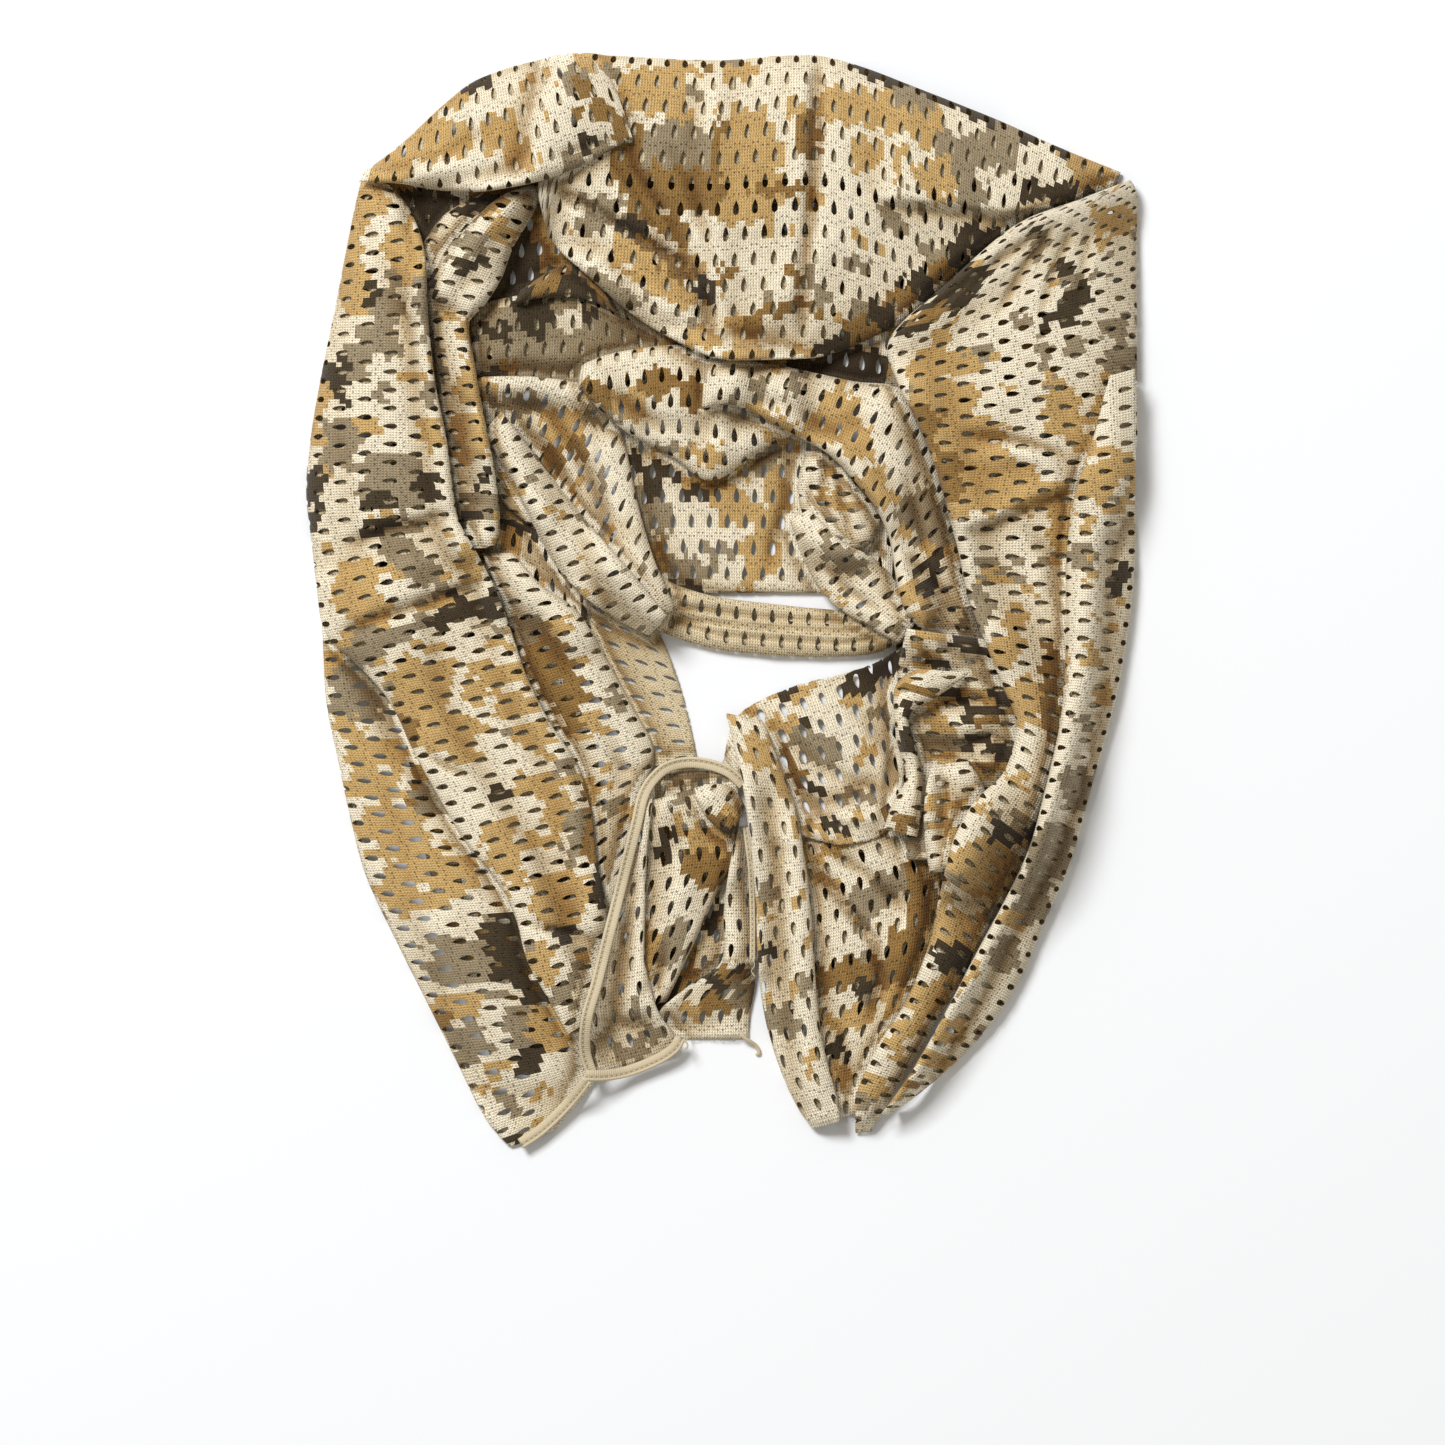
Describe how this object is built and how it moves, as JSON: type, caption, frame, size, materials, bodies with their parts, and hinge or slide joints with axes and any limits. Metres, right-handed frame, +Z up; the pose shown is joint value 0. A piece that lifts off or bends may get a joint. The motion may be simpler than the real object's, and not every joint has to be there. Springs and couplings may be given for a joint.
{
  "type": "camouflage mesh veil",
  "caption": "Perforated knitted camouflage veil of a ghillie kit, gathered into a closed loop and laid flat with two tails.",
  "frame": {"origin": "on the ground under the middle of the laid pile's bounding box", "axes": "+Z up from the ground, +Y towards the top of the loop away from the tails, +X to the viewer's right"},
  "size_m": [0.4161, 0.5507, 0.0575],
  "materials": {
    "printed_mesh_taupe": "matt knitted mesh",
    "printed_mesh_brown": "matt knitted mesh",
    "unprinted_mesh": "matt knitted mesh",
    "printed_mesh_cream": "matt knitted mesh",
    "printed_mesh_tan": "matt knitted mesh",
    "hem_binding": "rolled and stitched, matt"
  },
  "bodies": {
    "root": {"under_layer_left": "printed_mesh_taupe", "under_layer_top": "printed_mesh_brown", "under_layer_right": "printed_mesh_taupe", "under_layer_tail": "printed_mesh_taupe", "reverse_side_strip": "unprinted_mesh", "back_panel": "printed_mesh_cream", "back_lower_roll": "unprinted_mesh", "back_upper_panel": "printed_mesh_taupe", "back_left_fold": "printed_mesh_cream", "neck_small_fold": "printed_mesh_brown", "hanging_fold": "printed_mesh_cream", "right_tail_panel": "printed_mesh_cream", "lower_front_panel": "printed_mesh_tan", "cross_fold_low": "printed_mesh_taupe", "inner_left_band": "printed_mesh_cream", "cross_fold_small": "printed_mesh_cream", "cross_fold": "printed_mesh_cream", "left_inner_under": "printed_mesh_taupe", "left_inner_roll": "printed_mesh_cream", "left_lower_strip": "printed_mesh_cream", "left_outer_fold": "printed_mesh_cream", "ruffle_fold": "printed_mesh_cream", "ruffle_band": "printed_mesh_cream", "right_inner_roll": "printed_mesh_cream", "crumple_back": "printed_mesh_tan", "crumple_left_fold": "printed_mesh_cream", "crumple_lower_fold": "printed_mesh_cream", "tail_end_back": "printed_mesh_taupe", "tail_end_fold": "printed_mesh_cream", "frayed_end": "printed_mesh_cream", "tail_end_front": "printed_mesh_cream", "tail_inner_curl": "printed_mesh_cream", "top_apron": "printed_mesh_cream", "right_outer_panel": "printed_mesh_cream", "right_edge_roll": "printed_mesh_cream", "right_tail_strip": "printed_mesh_cream", "top_left_lobe": "printed_mesh_cream", "left_end_hem": "hem_binding", "end_side_hem": "hem_binding", "tail_side_hem": "hem_binding", "frayed_end_hem": "hem_binding"}
  },
  "joints": []
}
